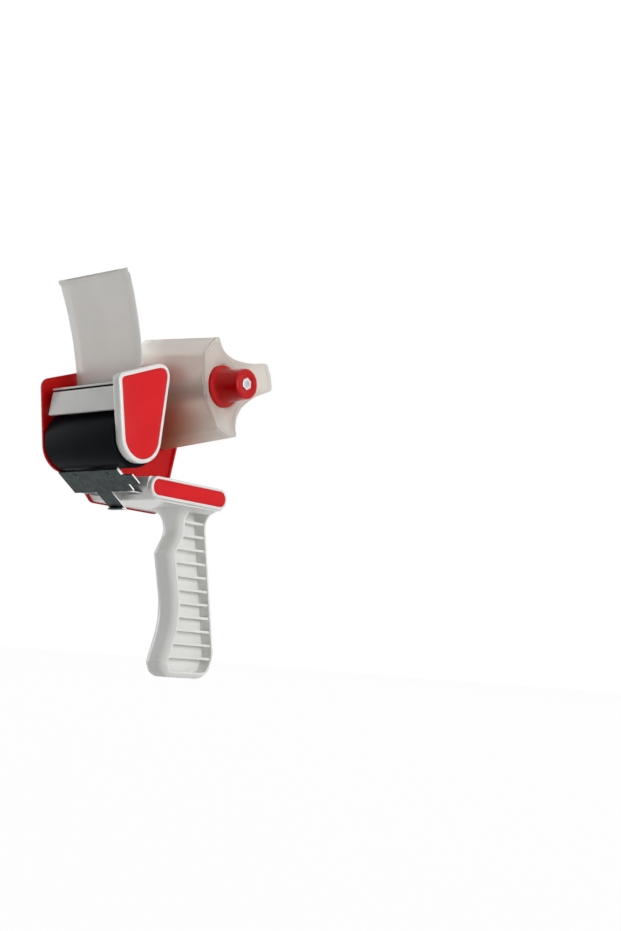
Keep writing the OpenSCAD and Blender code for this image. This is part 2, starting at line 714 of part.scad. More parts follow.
// Blade: toothed strip on the upper side of the bracket
blade_l = 9;
teeth = floor(blade_w / tooth_w);
tooth_cut = (tooth_w + 0.2) / sqrt(2);
rivet_r = 1.6;
rivet_s = 4.6;
rivet_gap = 28;
module blade() placed() color(dark_steel) difference() {
  slope_sheet(-tooth_l, blade_l, bracket_mid - blade_w / 2, bracket_mid + blade_w / 2, -2 * sheet_t,
    -sheet_t);
  for (i = [0:teeth])
    let (p = bracket_edge - slope_dir * tooth_l, y = bracket_mid + (i - teeth / 2) * tooth_w)
      translate([p[0], y, p[1]]) rotate([0, -blade_slope, 0]) rotate([0, 0, 45])
        cube([tooth_cut, tooth_cut, 6 * sheet_t], center = true);
  for (side = [-1, 1]) rivet(side, -3 * sheet_t, join, rivet_r + run_gap);
}
module rivet(side, n0, n1, r) {
  p = bracket_edge + slope_dir * rivet_s + slope_out * n0;
  translate([p[0], bracket_mid + side * rivet_gap / 2, p[1]]) rotate([0, 180 - blade_slope, 0])
    cylinder(r = r, h = n1 - n0);
}
tongue_z = bracket_foot[1];
tongue_end = beam_front - (beam_top - tongue_z) - tongue_in;
function tongue_y(side) = bracket_mid + side * tongue_gap / 2 - tongue_w / 2;
module blade_bracket() placed() color(dark_steel) difference() {
  union() {
    slope_sheet(0, bracket_l, bracket_mid - blade_w / 2, bracket_mid + blade_w / 2, -sheet_t, 0);
    slope_sheet(ear_s, ear_s + ear_l, bracket_mid, bracket_mid + blade_w / 2 + ear_w, -sheet_t, 0);
    slope_sheet(bracket_l - join, bracket_l + leg_l, bracket_mid - leg_w / 2, bracket_mid + leg_w / 2,
      -sheet_t, 0);
    hook = bracket_edge + slope_dir * (bracket_l + leg_l);
    block(hook[0] - join, hook[0] + hook_l, bracket_mid - leg_w / 2, bracket_mid + leg_w / 2, hook[1],
      hook[1] + sheet_t);
    for (side = [-1, 1])
      block(tongue_end, bracket_foot[0] + join, tongue_y(side), tongue_y(side) + tongue_w, tongue_z,
        tongue_z + sheet_t);
  }
  for (side = [-1, 1]) rivet(side, -3 * sheet_t, join, rivet_r + run_gap);
}
rivet_head = 0.2;
module blade_rivets() placed() color(dark_steel) for (side = [-1, 1]) {
  rivet(side, -2 * sheet_t - rivet_head, rivet_head, rivet_r);
  rivet(side, -2 * sheet_t - rivet_head, -2 * sheet_t, rivet_r + 1);
  rivet(side, 0, rivet_head, rivet_r + 1);
}
module handle_screws() placed() color(bright_steel)
  for (i = [0, 1]) pan_screw([handle_screw_x - i * screw_gap, handle_screw_z], 0, plate_t + 13);

side_plate();
handle();
handle_inlay();
front_frame();
front_inlay();
tape_flap();
guide_post();
guide_screw();
roller_sleeve();
roller_core();
roller_bushes();
roller_axle();
roller_screw();
cheek_screws();
tape_hub();
hub_spindle();
hub_washer();
hub_screw();
brake_washer();
brake_spring();
brake_knob();
brake_nut();
blade();
blade_bracket();
blade_rivets();
handle_screws();
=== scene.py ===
import json
import math

import bmesh
import bpy
import numpy as np
from bmesh.types import BMEdge, BMFace, BMVert
from mathutils import Matrix, Vector


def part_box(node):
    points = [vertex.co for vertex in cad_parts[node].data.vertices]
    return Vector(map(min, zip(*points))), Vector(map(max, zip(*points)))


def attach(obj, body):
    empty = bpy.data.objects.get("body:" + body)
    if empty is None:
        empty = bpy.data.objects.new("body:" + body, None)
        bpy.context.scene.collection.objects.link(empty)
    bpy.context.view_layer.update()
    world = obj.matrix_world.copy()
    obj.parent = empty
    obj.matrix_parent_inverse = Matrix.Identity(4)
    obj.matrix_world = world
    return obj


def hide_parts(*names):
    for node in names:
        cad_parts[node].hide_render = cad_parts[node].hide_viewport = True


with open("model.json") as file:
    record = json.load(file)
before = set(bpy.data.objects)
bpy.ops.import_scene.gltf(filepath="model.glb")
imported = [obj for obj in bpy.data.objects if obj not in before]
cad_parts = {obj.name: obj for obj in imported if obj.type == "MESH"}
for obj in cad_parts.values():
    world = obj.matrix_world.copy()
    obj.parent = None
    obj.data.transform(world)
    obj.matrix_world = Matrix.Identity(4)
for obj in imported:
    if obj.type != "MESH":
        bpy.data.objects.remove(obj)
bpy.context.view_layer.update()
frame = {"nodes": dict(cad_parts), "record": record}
nodes = frame["nodes"]
scene = bpy.context.scene
mm = 0.001
cutSlack = 1e-7  # metres within which a corner counts as lying on a cut
weldSlack = 1e-6  # metres within which two corners count as one
print("frame loaded:", len(nodes), "nodes")

# everything is placed from the roller axis and the outer face of the plate
rollerLow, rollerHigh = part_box("roller_sleeve")
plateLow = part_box("side_plate")[0]
home = Vector(((rollerLow.x + rollerHigh.x) / 2, plateLow.y, (rollerLow.z + rollerHigh.z) / 2))


def at(x, y, z):
    return home + Vector((x, y, z)) * mm


def depthOf(y):
    return home.y + y * mm


def sideSpot(point):
    # a point's x and z from the roller axis, in mm
    return (point.x - home.x) / mm, (point.z - home.z) / mm


# finishes

class Value:
    def __init__(self, tree, socket):
        self.tree = tree
        self.socket = socket

    def maths(self, operation, other, flip=False):
        node = self.tree.nodes.new("ShaderNodeMath")
        node.operation = operation
        pair = (other, self) if flip else (self, other)
        for slot, item in zip(node.inputs, pair):
            if isinstance(item, Value):
                self.tree.links.new(item.socket, slot)
            else:
                slot.default_value = item
        return Value(self.tree, node.outputs[0])

    def __add__(self, other):
        return self.maths("ADD", other)

    def __sub__(self, other):
        return self.maths("SUBTRACT", other)

    def __mul__(self, other):
        return self.maths("MULTIPLY", other)

    def __rsub__(self, other):
        return self.maths("SUBTRACT", other, True)

    __radd__ = __add__
    __rmul__ = __mul__


class Shading:
    def __init__(self, tree):
        self.tree = tree

    def node(self, kind, settings, output, **sockets):
        node = self.tree.nodes.new(kind)
        for key, value in settings.items():
            setattr(node, key, value)
        for key, value in sockets.items():
            numbered = key[0] == "i" and key[1:].isdigit()  # i6 is the seventh socket
            socket = node.inputs[int(key[1:]) if numbered else key]
            if isinstance(value, Value):
                self.tree.links.new(value.socket, socket)
            else:
                socket.default_value = value
        return Value(self.tree, node.outputs[output])


class Finish(Shading):
    def __init__(self, name, fixed):
        self.material = bpy.data.materials.new(name)
        self.material.use_nodes = True
        super().__init__(self.material.node_tree)
        self.shader = self.tree.nodes["Principled BSDF"]
        for key, value in fixed.items():
            self.shader.inputs[key].default_value = value
        self.place = self.node("ShaderNodeTexCoord", {}, "Object")

    def noise(self, scale, detail, stretch=(1, 1, 1), roughness=0.5):
        place = self.node("ShaderNodeMapping", {}, "Vector", Vector=self.place, Scale=stretch)
        return self.node("ShaderNodeTexNoise", {}, 0, Vector=place, Scale=scale, Detail=detail,
                         Roughness=roughness)

    def axis(self, vector, which):
        return self.node("ShaderNodeSeparateXYZ", {}, "XYZ".index(which), Vector=vector)

    def spread(self, value, low, high):
        return self.node("ShaderNodeMapRange", {"interpolation_type": "SMOOTHSTEP"}, 0,
                         Value=value, i1=low, i2=high)

    def tint(self, amount, dark, light):
        return self.node("ShaderNodeMix", {"data_type": "RGBA"}, 2, i0=amount, i6=dark, i7=light)

    def feed(self, name, value):
        self.tree.links.new(value.socket, self.shader.inputs[name])

    def bump(self, height, strength, distance):
        self.feed("Normal", self.node("ShaderNodeBump", {}, 0, Height=height, Strength=strength,
                                      Distance=distance))


def rgb(r, g, b):
    def linear(c):
        c = c / 255
        return c / 12.92 if c <= 0.04045 else ((c + 0.055) / 1.055) ** 2.4
    return (linear(r), linear(g), linear(b), 1)


# painted shade: the inside of the narrow slit above the bar is painted near black, from and to in metres
slitShade = {"floor": (0.1609, 0.1611), "roof": (0.1622, 0.16235), "back": (0.079, 0.08),
        "front": (0.0944, 0.0946), "end": (0.0287, 0.0289)}


def slitShadeMask(f):
    x, y, z = (f.axis(f.place, which) for which in "XYZ")
    return (f.spread(z, *slitShade["floor"]) * (1 - f.spread(z, *slitShade["roof"])) * f.spread(x, *slitShade["back"])
            * (1 - f.spread(x, *slitShade["front"])) * (1 - f.spread(y, *slitShade["end"])))


# painted shade: the milky hub is painted darker and warmer towards the plate and downwards, from and to in
# metres
hubShade = {"depth": (-0.02, 0.026), "height": (0.15, 0.205)}


def hubShadeMask(f):
    depth, height = f.axis(f.place, "Y"), f.axis(f.place, "Z")
    return (1 - f.spread(depth, *hubShade["depth"])) * (1 - f.spread(height, *hubShade["height"]))


# painted highlight on bare cut edges: the dark steel is painted near white where it faces the free side,
# towards the side lamp
cutEdgeHighlight = {"facing": (0.9, 0.98)}


def cutEdgeHighlightMask(f):
    facing = f.axis(f.node("ShaderNodeTexCoord", {}, "Normal"), "Y")
    return f.spread(facing, *cutEdgeHighlight["facing"])


# cloud mixes the two colours, wear varies the roughness by (swing, base), or cloud does where there is
# no wear, and grain is the height of the bump by (strength, distance)
looks = {
    "red_paint": {
        "name": "redPaintedSteel", "dark": rgb(196, 8, 10), "light": rgb(218, 14, 14),
        "fixed": {"Coat Weight": 0.04, "Coat Roughness": 0.12, "IOR": 1.45, "Specular IOR Level": 0.2},
        "cloud": {"scale": 38, "detail": 3}, "cloudShare": 0.6,
        "specks": {"scale": 900, "detail": 2}, "speckRange": (0.7, 0.78), "speckShare": 0.06,
        "wear": {"scale": 220, "detail": 3}, "rough": (0.06, 0.26),
        "grain": {"scale": 900, "detail": 2}, "bump": (0.03, 0.0001),
    },
    "white_plastic": {
        "name": "whiteMoulding", "dark": rgb(233, 233, 229), "light": rgb(243, 243, 241),
        "fixed": {"IOR": 1.46, "Subsurface Weight": 0.08, "Subsurface Scale": 0.002,
                  "Subsurface Radius": (1.0, 0.9, 0.8), "Coat Weight": 0.3, "Coat Roughness": 0.08},
        # painted shade: the slit above the bar is painted near black
        "cloud": {"scale": 55, "detail": 4}, "mask": slitShadeMask, "masked": rgb(20, 20, 20),
        "wear": {"scale": 300, "detail": 3}, "rough": (0.12, 0.24),
        "grain": {"scale": 1500, "detail": 3}, "bump": (0.08, 0.0002),
    },
    "red_plastic": {
        "name": "redInlay", "dark": rgb(212, 26, 32), "light": rgb(228, 36, 42),
        "fixed": {"IOR": 1.48, "Specular IOR Level": 0.15},
        "cloud": {"scale": 60, "detail": 3},
        "wear": {"scale": 420, "detail": 3}, "rough": (0.15, 0.34),
        "grain": {"scale": 1800, "detail": 3}, "bump": (0.1, 0.0002),
    },
    "knob_plastic": {
        "name": "glossyKnob", "dark": rgb(182, 2, 5), "light": rgb(200, 5, 8),
        "fixed": {"IOR": 1.46, "Specular IOR Level": 0.2, "Coat Weight": 0.12, "Coat Roughness": 0.04},
        "cloud": {"scale": 70, "detail": 2},
        "wear": {"scale": 250, "detail": 2}, "rough": (0.1, 0.18),
        "grain": {"scale": 900, "detail": 2}, "bump": (0.04, 0.0002),
    },
    "milky_plastic": {
        "name": "milkyHub", "dark": rgb(240, 237, 231), "light": rgb(250, 248, 245),
        "fixed": {"IOR": 1.2, "Transmission Weight": 0.72},
        # painted shade: the hub darker and warmer towards the plate and downwards
        "cloud": {"scale": 45, "detail": 3}, "mask": hubShadeMask, "masked": rgb(206, 164, 132),
        "wear": {"scale": 320, "detail": 3}, "rough": (0.14, 0.44),
        "grain": {"scale": 1200, "detail": 3}, "bump": (0.06, 0.0002),
    },
    "flap_plastic": {
        "name": "frostedFlap", "dark": rgb(234, 232, 228), "light": rgb(246, 244, 241),
        "fixed": {"IOR": 1.25, "Transmission Weight": 0.4},
        "cloud": {"scale": 60, "detail": 3, "stretch": (1, 1, 0.15)},
        "wear": {"scale": 500, "detail": 3}, "rough": (0.15, 0.48),
        "grain": {"scale": 1600, "detail": 3}, "bump": (0.08, 0.0001),
    },
    "rubber": {
        "name": "blackRubber", "dark": rgb(9, 12, 15), "light": rgb(20, 24, 28),
        "fixed": {"IOR": 1.5, "Specular IOR Level": 0.03},
        "cloud": {"scale": 260, "detail": 3, "stretch": (0.2, 1, 0.2)}, "rough": (0.2, 0.36),
        "grain": {"scale": 1400, "detail": 3}, "bump": (0.12, 0.0002),
    },
    "chrome": {
        "name": "chromePlate", "dark": (0.62, 0.63, 0.65, 1), "light": (0.78, 0.79, 0.81, 1),
        "fixed": {"Metallic": 1}, "cloud": {"scale": 300, "detail": 2},
        "wear": {"scale": 600, "detail": 3}, "rough": (0.12, 0.1),
    },
    "steel": {
        "name": "brightSteel", "dark": (0.42, 0.43, 0.44, 1), "light": (0.62, 0.63, 0.64, 1),
        "fixed": {"Metallic": 1},
        "cloud": {"scale": 300, "detail": 3, "stretch": (1, 0.06, 1)}, "rough": (0.2, 0.22),
    },
    "dark_steel": {
        "name": "darkBlueSteel", "dark": rgb(15, 24, 24), "light": rgb(56, 72, 69),
        "fixed": {"Metallic": 0.85},
        "cloud": {"scale": 210, "detail": 5, "roughness": 0.65}, "cloudRange": (0.38, 0.66),
        # painted highlight on the bare cut edges that face the free side
        "mask": cutEdgeHighlightMask, "masked": rgb(236, 238, 238), "rough": (0.2, 0.32),
        "grain": {"scale": 700, "detail": 3}, "bump": (0.1, 0.0002),
    },
    "nylon": {
        "name": "bushNylon", "dark": rgb(212, 208, 196), "light": rgb(226, 223, 214),
        "fixed": {"IOR": 1.5}, "cloud": {"scale": 80, "detail": 3},
        "wear": {"scale": 300, "detail": 2}, "rough": (0.12, 0.42),
    },
}


def makeFinish(look):
    f = Finish(look["name"], look["fixed"])
    cloud = f.noise(**look["cloud"])
    if "cloudRange" in look:
        cloud = f.spread(cloud, *look["cloudRange"])
    amount = cloud
    if "specks" in look:
        specks = f.spread(f.noise(**look["specks"]), *look["speckRange"])
        amount = cloud * look["cloudShare"] + specks * look["speckShare"]
    colour = f.tint(amount, look["dark"], look["light"])
    # painted shade and painted highlight: a look's mask lays its colour over the finish
    if "mask" in look:
        colour = f.tint(look["mask"](f), colour, look["masked"])
    f.feed("Base Color", colour)
    wear = f.noise(**look["wear"]) if "wear" in look else cloud
    swing, base = look["rough"]
    f.feed("Roughness", wear * swing + base)
    if "grain" in look:
        f.bump(f.noise(**look["grain"]), *look["bump"])
    return f.material


finishes = {slotName: makeFinish(look) for slotName, look in looks.items()}
for part in frame["record"]["subparts"]:
    cadMesh = nodes[part["node"]].data
    cadMesh.materials.clear()
    cadMesh.materials.append(finishes[part["material_slot"]])
print("finishes made:", len(finishes))


# mesh tools, sizes in mm

def ofKind(geom, kind):
    return [g for g in geom if isinstance(g, kind)]


def cornerReach(corners, i):
    # how far a rounded corner eats into its two edges
    x, z, radius = corners[i]
    last, following = corners[i - 1], corners[(i + 1) % len(corners)]
    before = Vector((last[0] - x, last[1] - z))
    after = Vector((following[0] - x, following[1] - z))
    return radius / math.tan(before.angle(after) / 2)


def outlineFace(bm, corners, y, arcSteps):
    # a face across Y from corners of (x, z, radius)
    verts = [bm.verts.new(at(x, y, z)) for x, z, radius in corners]
    bm.faces.new(verts)
    for i, vert in enumerate(verts):
        if corners[i][2] > 0:
            bmesh.ops.bevel(bm, geom=[vert], offset=cornerReach(corners, i) * mm, offset_type="OFFSET",
                            segments=arcSteps, profile=0.5, affect="VERTICES", material=-1,
                            clamp_overlap=False)
    return bm.faces[:][-1]


def thicken(bm, faces, dy):
    grown = bmesh.ops.extrude_face_region(bm, geom=faces, use_keep_orig=True)["geom"]
    bmesh.ops.translate(bm, verts=ofKind(grown, BMVert), vec=(0, dy * mm, 0))
    bmesh.ops.recalc_face_normals(bm, faces=bm.faces[:])


def rimEdges(bm, y, sharp=0.5):
    # the sharp edges that lie at one depth
    level = depthOf(y)
    return [e for e in bm.edges if len(e.link_faces) == 2 and e.calc_face_angle() > sharp
            and all(abs(v.co.y - level) < weldSlack for v in e.verts)]


def roundEdges(bm, edges, size, steps):
    bmesh.ops.bevel(bm, geom=edges, offset=size * mm, offset_type="OFFSET", segments=steps, profile=0.5,
                    affect="EDGES", material=-1, clamp_overlap=True, loop_slide=False)


def sideFace(bm, way):
    # the largest face that looks along +Y or -Y
    return max((f for f in bm.faces if f.normal.y * way > 0.99), key=lambda f: f.calc_area())


def slab(corners, y0, y1, rim=(0, 0), arcSteps=8, rimSteps=3):
    bm = bmesh.new()
    outlineFace(bm, corners, y0, arcSteps)
    thicken(bm, bm.faces[:], y1 - y0)
    for y, size in ((y0, rim[0]), (y1, rim[1])):
        if size:
            roundEdges(bm, rimEdges(bm, y), size, rimSteps)
    return bm


def block(x0, x1, y0, y1, z0, z1, rounding, steps=2):
    bm = bmesh.new()
    size = Vector((x1 - x0, y1 - y0, z1 - z0)) * mm
    middle = at((x0 + x1) / 2, (y0 + y1) / 2, (z0 + z1) / 2)
    bmesh.ops.create_cube(bm, size=1, matrix=Matrix.Translation(middle) @ Matrix.Diagonal((*size, 1)))
    if rounding:
        roundEdges(bm, bm.edges[:], rounding, steps)
    return bm


def sunkFace(bm, face, border, depth, draft=0.02):
    # a border round a face, and the rest of the face pushed in
    bmesh.ops.inset_region(bm, faces=[face], thickness=border * mm, use_even_offset=True)
    bmesh.ops.inset_region(bm, faces=[face], thickness=draft * mm, depth=-depth * mm, use_even_offset=True)


def cutFaces(bm, faces, spot, way):
    geom = list(dict.fromkeys(g for f in faces for g in (f, *f.edges, *f.verts)))
    bmesh.ops.bisect_plane(bm, geom=geom, dist=cutSlack, plane_co=spot, plane_no=way)


def markedFaces(bm):
    return [f for f in bm.faces if f.material_index == 1]


def sinkFaces(bm, faces, vec):
    # each face goes down by itself, so that walls stay between them
    sunk = bmesh.ops.extrude_discrete_faces(bm, faces=faces)["faces"]
    bmesh.ops.translate(bm, verts=list(dict.fromkeys(v for f in sunk for v in f.verts)), vec=vec)
    for f in bm.faces:
        f.material_index = 0


def joined(*parts):
    whole = bmesh.new()
    for bm in parts:
        scratch = bpy.data.meshes.new("scratch")
        bm.to_mesh(scratch)
        whole.from_mesh(scratch)
        bpy.data.meshes.remove(scratch)
        bm.free()
    return whole


def turned(profile, centre, y0, steps):
    # profile of (radius, y) turned about an axis along Y
    bm = bmesh.new()
    verts = [bm.verts.new(at(centre[0] + r, y0 + y, centre[1])) for r, y in profile]
    edges = [bm.edges.new(pair) for pair in zip(verts, verts[1:])]
    bmesh.ops.spin(bm, geom=verts + edges, cent=at(centre[0], 0, centre[1]), axis=(0, 1, 0),
                   angle=2 * math.pi, steps=steps, use_merge=True)
    bmesh.ops.remove_doubles(bm, verts=bm.verts[:], dist=weldSlack)
    bmesh.ops.recalc_face_normals(bm, faces=bm.faces[:])
    return bm


def arc(cx, cy, radius, start, end, steps):
    # points of an arc in a profile, in degrees
    angles = [math.radians(start + (end - start) * i / steps) for i in range(steps + 1)]
    return [(cx + radius * math.cos(angle), cy + radius * math.sin(angle)) for angle in angles]


def makePiece(name, bm, body, slotName, replaced, smoothAngle=32):
    mesh = bpy.data.meshes.new(name)
    bm.to_mesh(mesh)
    bm.free()
    mesh.materials.append(finishes[slotName])
    piece = bpy.data.objects.new(name, mesh)
    scene.collection.objects.link(piece)
    mesh.shade_smooth()
    mesh.set_sharp_from_angle(angle=math.radians(smoothAngle))
    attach(piece, body)
    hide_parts(*replaced)
    print("piece:", name, len(mesh.polygons), "faces")
    return piece


def giveThickness(piece, thick, offset):
    sheet = piece.modifiers.new("sheet", "SOLIDIFY")
    sheet.thickness = thick * mm
    sheet.offset = offset


# side plate: a sheet cut to its outline, pressed and folded

def noseCorner(p, radius, drop, side):
    # corner where the tangent from p to the nose circle meets the circle's lowest level
    x, z = p[0], p[1] + drop
    angle = math.atan2(z, x) - side * math.acos(radius / math.hypot(x, z))
    footX, footZ = radius * math.cos(angle), radius * math.sin(angle)
    share = (-radius - z) / (footZ - z)
    return (x + share * (footX - x), -radius - drop, radius)


plate = {
    "sheet": 1.5, "emboss": 0.9, "press": 1.7, "arcSteps": 10, "smoothAngle": 50,
    "lip": 4, "lipFront": -30, "lipLow": -18.1, "lipLead": 3, "lipFade": 5, "bend": 1.9,
    "cell": 0.8, "margin": 1, "cutReach": 1.6, "shortest": 1e-4, "weld": 0.05,
    "rear": (-99.8, 71.5, 14), "noseTop": (22.8, 33.8, 5.8), "noseRadius": 16.7, "noseDrop": 1.8,
    "foot": [(-80.5, -33, 6), (-23.9, -33, 5), (-9.4, -18.5, 3)], "brow": (-31.6, 53.9, 40),
    "panel": [(-136, 106, 1), (-136, -17.1, 1), (-23.5, -17.1, 6), (-14, -11.8, 4), (6, -11.8, 6),
              (13, 3.6, 6), (-28.5, 46.8, 10), (-31, 106, 1)], "panelSteps": 8,
    "drop": [(-52.1, 19.7, 19.2), (-20.5, 7, 4.8)],
    "bosses": [(-76.4, 46.2, 7.8), (0, 0, 7.8)],
}
plate["corners"] = [plate["rear"], *plate["foot"],
                    noseCorner(plate["noseTop"], plate["noseRadius"], plate["noseDrop"], 1),
                    plate["noseTop"], plate["brow"]]


def roundedLine(corners, arcSteps):
    # the rounded outline as points, read back from the outline's own face
    bm = bmesh.new()
    face = outlineFace(bm, corners, 0, arcSteps)
    points = np.array([sideSpot(v.co) for v in face.verts])
    bm.free()
    return points


def inside(points, outline):
    # signed distance of points from a closed outline, positive within
    a, b = outline, np.roll(outline, -1, axis=0)
    along = b - a
    offset = points[:, None, :] - a[None]
    share = np.clip((offset * along).sum(2) / np.maximum((along ** 2).sum(1), 1e-9), 0, 1)
    far = np.hypot(*(offset - share[..., None] * along).transpose(2, 0, 1)).min(1)
    px, pz = points[:, 0][:, None], points[:, 1][:, None]
    crosses = (a[:, 1] > pz) != (b[:, 1] > pz)
    reach = a[:, 0] + (pz - a[:, 1]) * along[:, 0] / np.where(along[:, 1] == 0, 1e-9, along[:, 1])
    within = (crosses & (px < reach)).sum(1) % 2 == 1
    return np.where(within, far, -far)


def taperDistance(points, big, small):
    # signed distance from a round-ended drop between two circles
    a, b = np.array(big[:2]), np.array(small[:2])
    share = np.clip(((points - a) @ (b - a)) / ((b - a) @ (b - a)), 0, 1)
    radius = big[2] + (small[2] - big[2]) * share
    return radius - np.hypot(*(points - a - share[:, None] * (b - a)).T)


def ease(t):
    t = np.clip(t, 0, 1)
    return t * t * (3 - 2 * t)


def plateGrid(outline):
    low, high = outline.min(0) - plate["margin"], outline.max(0) + plate["margin"]
    middle, span = (low + high) / 2, high - low
    cells = np.ceil(span / plate["cell"]).astype(int)
    bm = bmesh.new()
    bmesh.ops.create_grid(bm, x_segments=int(cells[0]), y_segments=int(cells[1]), size=0.5,
                          matrix=Matrix.Translation(at(middle[0], 0, middle[1]))
                          @ Matrix.Rotation(math.pi / 2, 4, "X")
                          @ Matrix.Diagonal((span[0] * mm, span[1] * mm, 1, 1)))
    return bm


def cutToOutline(bm, outline):
    reach = plate["cutReach"] * plate["cell"]
    for p, q in zip(outline, np.roll(outline, -1, axis=0)):
        length = float(np.hypot(*(q - p)))
        if length < plate["shortest"]:
            continue
        way = (q - p) / length
        near = []
        for f in bm.faces:
            x, z = sideSpot(f.calc_center_median())
            dx, dz = x - p[0], z - p[1]
            along = dx * way[0] + dz * way[1]
            if -reach < along < length + reach and abs(dx * way[1] - dz * way[0]) < reach:
                near.append(f)
        cutFaces(bm, near, at(p[0], 0, p[1]), (way[1], 0, -way[0]))
    centres = np.array([sideSpot(f.calc_center_median()) for f in bm.faces])
    outer = [f for f, d in zip(bm.faces[:], inside(centres, outline)) if d < 0]
    bmesh.ops.delete(bm, geom=outer, context="FACES")
    bmesh.ops.remove_doubles(bm, verts=bm.verts[:], dist=plate["weld"] * mm)


def pressDepth(spots, outline):
    # how far the sheet goes in: the panel without its raised forms, and the bend before the lip
    press, bend, fade = plate["press"], plate["bend"], plate["lipFade"]
    pressed = ease(inside(spots, roundedLine(plate["panel"], plate["panelSteps"])) / press + 0.5)
    raised = [taperDistance(spots, *plate["drop"])]
    raised += [r - np.hypot(spots[:, 0] - x, spots[:, 1] - z) for x, z, r in plate["bosses"]]
    for distance in raised:
        pressed = pressed * (1 - ease(distance / press + 0.5))
    edge = np.clip(bend - inside(spots, outline), 0, bend)
    fold = bend - np.sqrt(np.maximum(bend ** 2 - edge ** 2, 0))
    fold = fold * ease((plate["lipFront"] + plate["lipLead"] - spots[:, 0]) / fade)
    fold = fold * ease((spots[:, 1] - plate["lipLow"] + plate["lipLead"]) / fade)
    return pressed * plate["emboss"] + fold


def plateSheet():
    outline = roundedLine(plate["corners"], plate["arcSteps"])
    bm = plateGrid(outline)
    cutToOutline(bm, outline)
    verts = bm.verts[:]
    spots = np.array([sideSpot(v.co) for v in verts])
    for v, depth in zip(verts, pressDepth(spots, outline)):
        v.co.y += depth * mm
    rear = [e for e in bm.edges if e.is_boundary
            and max(v.co.x for v in e.verts) < home.x + plate["lipFront"] * mm
            and min(v.co.z for v in e.verts) > home.z + plate["lipLow"] * mm]
    folded = bmesh.ops.extrude_edge_only(bm, edges=rear)["geom"]
    for v in ofKind(folded, BMVert):
        v.co.y = depthOf(plate["lip"])
    bmesh.ops.recalc_face_normals(bm, faces=bm.faces[:])
    if sum(f.normal.y * f.calc_area() for f in bm.faces) > 0:
        bmesh.ops.reverse_faces(bm, faces=bm.faces[:])
    return bm


sidePlate = makePiece("sidePlate", plateSheet(), "frame", "red_paint", ["side_plate"],
                      plate["smoothAngle"])
giveThickness(sidePlate, plate["sheet"], -1)

# handle: ribbed grip, beam with flared underside, cheek with its inlay

handle = {
    "middle": 33.5, "width": 18, "edgeRadius": 8, "edgeArc": 50, "edgeSteps": 6, "rim": 1.15,
    "ribs": 11, "ribPitch": 8.2, "ribThick": 1.5, "ribSink": 1, "ribTop": -38.95, "web": 1.8,
    "pocketTop": -33.7, "gripSteps": 10,
    "grip": [(-82.7, -29.5, 0), (-101.6, -120.5, 14), (-96.2, -134.2, 9), (-60.2, -134.2, 6),
             (-56.4, -126, 5), (-64.6, -97, 44), (-54.8, -59.5, 4), (-61.4, -46.5, 10), (-57.9, -29.5, 0)],
    "beam": [(-82.6, -18.8, 4), (-82.6, -32.2, 4), (-25.2, -32.2, 3.5), (-18.6, -25.6, 2.5),
             (-19.6, -18.8, 2)],
    "beamEnds": (1.5, 55.5), "beamBase": -32.2, "flare": 11, "flareCuts": (0, 20, 36, 50, 62, 74),
    "wells": {"x": [(-79.5, -64), (-61, -45.5), (-42.5, -27)], "y": (19.5, 52), "deep": 9.4},
    "cheek": {"middle": -50.9, "length": 63.4, "low": -31.2, "high": -18.4, "y0": 55, "y1": 59,
              "roundSlack": 0.25, "arcSteps": 14, "rim": (0.6, 0.9), "border": 1.6,
              "inlay": 1, "inlayGap": 0.1, "inlayRim": (0, 0.25), "inlaySteps": 2},
}


def rollSide(bm, face):
    # the side's edge rolls over in rings, up to a flat rim
    radius, turn, steps = handle["edgeRadius"], math.radians(handle["edgeArc"]), handle["edgeSteps"]
    levels = [(radius * (1 - math.cos(turn * i / steps)), radius * math.sin(turn * i / steps))
              for i in range(steps + 1)]
    for (inA, upA), (inB, upB) in zip(levels, levels[1:]):
        bmesh.ops.inset_region(bm, faces=[face], thickness=(inB - inA) * mm, depth=(upB - upA) * mm,
                               use_even_offset=True)
    bmesh.ops.inset_region(bm, faces=[face], thickness=handle["rim"] * mm, use_even_offset=True)


def ribPockets(bm, face, way):
    # the side is cut at the ribs' edges, lowered by a step, and sunk between the ribs
    pocketFloor = handle["width"] / 2 - handle["ribSink"] - handle["web"] / 2
    face.material_index = 1
    ribEdges = [handle["ribTop"] - k * handle["ribPitch"] - d
                for k in range(handle["ribs"]) for d in (0, handle["ribThick"])]
    for z in [handle["pocketTop"]] + ribEdges:
        cutFaces(bm, markedFaces(bm), at(0, 0, z), (0, 0, 1))
    topLevel = at(0, 0, handle["pocketTop"]).z
    lowered = [f for f in markedFaces(bm) if f.calc_center_median().z < topLevel]
    grown = bmesh.ops.extrude_face_region(bm, geom=lowered)["geom"]
    bmesh.ops.delete(bm, geom=lowered, context="FACES_ONLY")
    bmesh.ops.translate(bm, verts=ofKind(grown, BMVert), vec=(0, -way * handle["ribSink"] * mm, 0))
    pockets = []
    for f in ofKind(grown, BMFace):
        drop = handle["ribTop"] - sideSpot(f.calc_center_median())[1]
        if drop < 0 or drop % handle["ribPitch"] > handle["ribThick"]:
            pockets.append(f)
    sinkFaces(bm, pockets, (0, -way * pocketFloor * mm, 0))


def gripShell():
    flat = handle["width"] / 2 - handle["edgeRadius"] * math.sin(math.radians(handle["edgeArc"]))
    bm = slab(handle["grip"], handle["middle"] - flat, handle["middle"] + flat, arcSteps=handle["gripSteps"])
    for way in (1, -1):
        face = sideFace(bm, way)
        rollSide(bm, face)
        ribPockets(bm, face, way)
    bmesh.ops.recalc_face_normals(bm, faces=bm.faces[:])
    return bm


